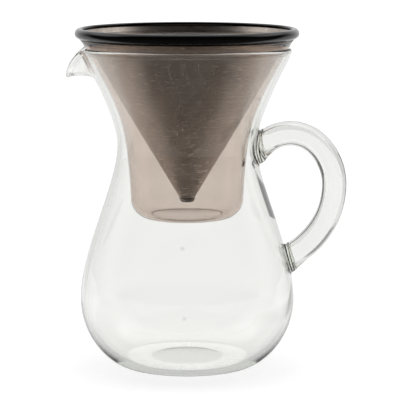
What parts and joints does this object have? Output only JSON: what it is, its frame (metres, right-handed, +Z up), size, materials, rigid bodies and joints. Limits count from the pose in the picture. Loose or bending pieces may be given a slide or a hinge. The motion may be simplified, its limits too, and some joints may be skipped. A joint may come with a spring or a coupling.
{
  "type": "coffee server carafe",
  "caption": "Waisted glass coffee server with a drawn pouring lip and a tube handle; a smoke resin holder and a fine steel cone filter with a black ring lift out of its mouth.",
  "frame": {"origin": "centre of the carafe's foot, on the axis of the vessel and in the plane it stands on", "axes": "+Z up along the vessel's axis; the pouring lip points along -X and the handle along +X; +Y is the far side in the picture"},
  "size_m": [0.154, 0.1224, 0.1864],
  "materials": {
    "glass_body": "clear heat-proof glass, smooth",
    "handle": "clear heat-proof glass tube, smooth",
    "holder_cup": "clear smoke-tinted resin, glossy",
    "filter_cone": "finely perforated stainless sheet, satin",
    "filter_tip": "pressed stainless cap, satin",
    "filter_ring": "black moulded resin, half gloss"
  },
  "bodies": {
    "carafe": {"glass_body": "glass_body", "handle": "handle"},
    "holder": {"holder_cup": "holder_cup"},
    "filter": {"filter_cone": "filter_cone", "filter_tip": "filter_tip", "filter_ring": "filter_ring"}
  },
  "joints": [
    {"name": "holder_lift", "type": "slide", "parent": "carafe", "child": "holder", "axis": [0, 0, 1], "range_m": [0, 0.1]},
    {"name": "filter_lift", "type": "slide", "parent": "holder", "child": "filter", "axis": [0, 0, 1], "range_m": [0, 0.095]}
  ]
}
